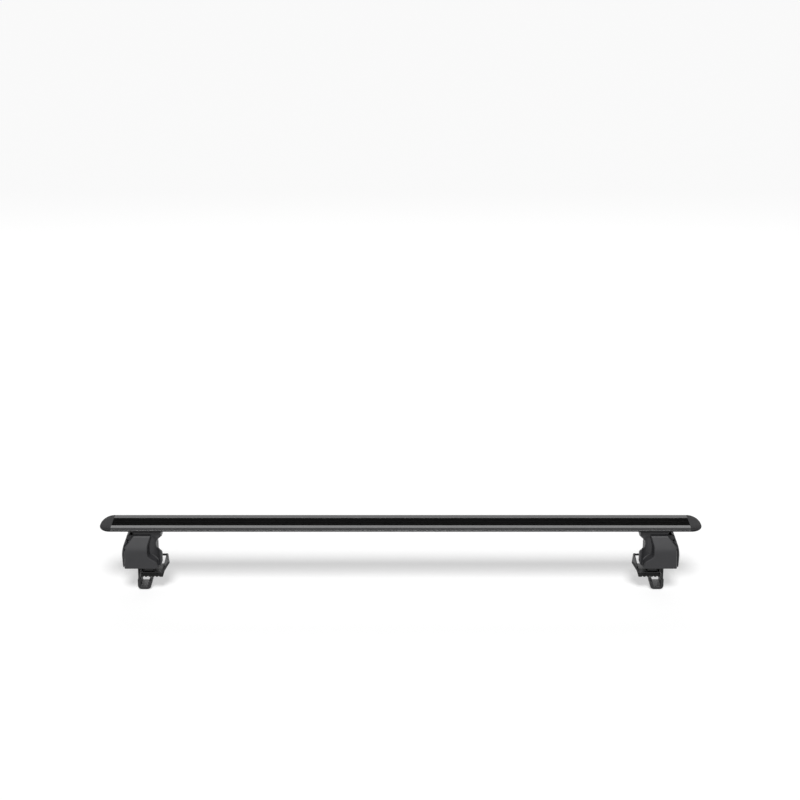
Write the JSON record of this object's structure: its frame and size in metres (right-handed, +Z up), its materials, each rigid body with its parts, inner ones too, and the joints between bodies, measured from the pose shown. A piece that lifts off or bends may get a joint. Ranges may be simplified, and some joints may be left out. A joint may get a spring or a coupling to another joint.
{
  "type": "roof rack crossbar",
  "caption": "Black wing-section roof crossbar with a flush rubber strip, on clamping feet with padded shoes, door-frame hooks and locking covers.",
  "frame": {"origin": "mid-length of the bar, on the plane of its top, at the middle of the top slot", "axes": "+X along the bar, +Y rearward over the car, +Z up"},
  "size_m": [1.1994, 0.084, 0.1393],
  "materials": {
    "anodised_bar": "satin black anodised",
    "strip_rubber": "ribbed matte black",
    "pad_rubber": "matte black",
    "soft_sleeve": "soft satin black",
    "moulded_nylon": "fine moulded grain",
    "coated_steel": "black powder coat",
    "zinc_steel": "zinc plated",
    "lock_metal": "satin nickel"
  },
  "bodies": {
    "bar": {"bar_extrusion": "anodised_bar", "top_strip": "strip_rubber", "bottom_strip": "strip_rubber", "end_cap_left": "moulded_nylon", "end_cap_right": "moulded_nylon"},
    "foot_right": {"foot_housing_right": "moulded_nylon", "bar_gasket_right": "pad_rubber", "inner_frame_right": "coated_steel", "slot_plate_right": "zinc_steel", "clamp_screws_right": "zinc_steel", "barrel_nut_right": "zinc_steel", "saddle_right": "coated_steel", "saddle_screws_right": "zinc_steel", "roof_pad_right": "pad_rubber", "cover_pin_right": "zinc_steel"},
    "cover_right": {"outer_cover_right": "moulded_nylon"},
    "lock_right": {"lock_barrel_right": "lock_metal", "lock_cam_right": "zinc_steel"},
    "hook_right": {"hook_right": "coated_steel", "hook_sleeve_right": "soft_sleeve"},
    "bolt_right": {"tension_bolt_right": "zinc_steel", "bolt_washer_right": "zinc_steel"},
    "foot_left": {"foot_housing_left": "moulded_nylon", "bar_gasket_left": "pad_rubber", "inner_frame_left": "coated_steel", "slot_plate_left": "zinc_steel", "clamp_screws_left": "zinc_steel", "barrel_nut_left": "zinc_steel", "saddle_left": "coated_steel", "saddle_screws_left": "zinc_steel", "roof_pad_left": "pad_rubber", "cover_pin_left": "zinc_steel"},
    "cover_left": {"outer_cover_left": "moulded_nylon"},
    "lock_left": {"lock_barrel_left": "lock_metal", "lock_cam_left": "zinc_steel"},
    "hook_left": {"hook_left": "coated_steel", "hook_sleeve_left": "soft_sleeve"},
    "bolt_left": {"tension_bolt_left": "zinc_steel", "bolt_washer_left": "zinc_steel"}
  },
  "joints": [
    {"name": "foot_slide_right", "type": "slide", "parent": "bar", "child": "foot_right", "axis": [1, 0, 0], "range_m": [-0.025, 0.025]},
    {"name": "cover_hinge_right", "type": "hinge", "parent": "foot_right", "child": "cover_right", "pos_m": [0.542, 0, -0.026], "axis": [0, -1, 0], "range_deg": [0, 70]},
    {"name": "lock_turn_right", "type": "hinge", "parent": "cover_right", "child": "lock_right", "pos_m": [0.554, 0, -0.0726], "axis": [-1, 0, 0], "range_deg": [0, 90]},
    {"name": "hook_pull_right", "type": "slide", "parent": "foot_right", "child": "hook_right", "axis": [-0.866, 0, 0.5], "range_m": [-0.006, 0.0025]},
    {"name": "bolt_turn_right", "type": "hinge", "parent": "hook_right", "child": "bolt_right", "pos_m": [0.53247, 0, -0.05665], "axis": [-0.866, 0, 0.5], "range_deg": [-1764, 756]},
    {"name": "foot_slide_left", "type": "slide", "parent": "bar", "child": "foot_left", "axis": [-1, 0, 0], "range_m": [-0.025, 0.025]},
    {"name": "cover_hinge_left", "type": "hinge", "parent": "foot_left", "child": "cover_left", "pos_m": [-0.542, 0, -0.026], "axis": [0, 1, 0], "range_deg": [0, 70]},
    {"name": "lock_turn_left", "type": "hinge", "parent": "cover_left", "child": "lock_left", "pos_m": [-0.554, 0, -0.0726], "axis": [-1, 0, 0], "range_deg": [0, 90]},
    {"name": "hook_pull_left", "type": "slide", "parent": "foot_left", "child": "hook_left", "axis": [0.866, 0, 0.5], "range_m": [-0.006, 0.0025]},
    {"name": "bolt_turn_left", "type": "hinge", "parent": "hook_left", "child": "bolt_left", "pos_m": [-0.53247, 0, -0.05665], "axis": [0.866, 0, 0.5], "range_deg": [-1764, 756]}
  ],
  "couplings": [
    {"joint": "bolt_turn_right", "follows": "hook_pull_right", "rad_per_m": 5026.5},
    {"joint": "bolt_turn_left", "follows": "hook_pull_left", "rad_per_m": 5026.5}
  ]
}
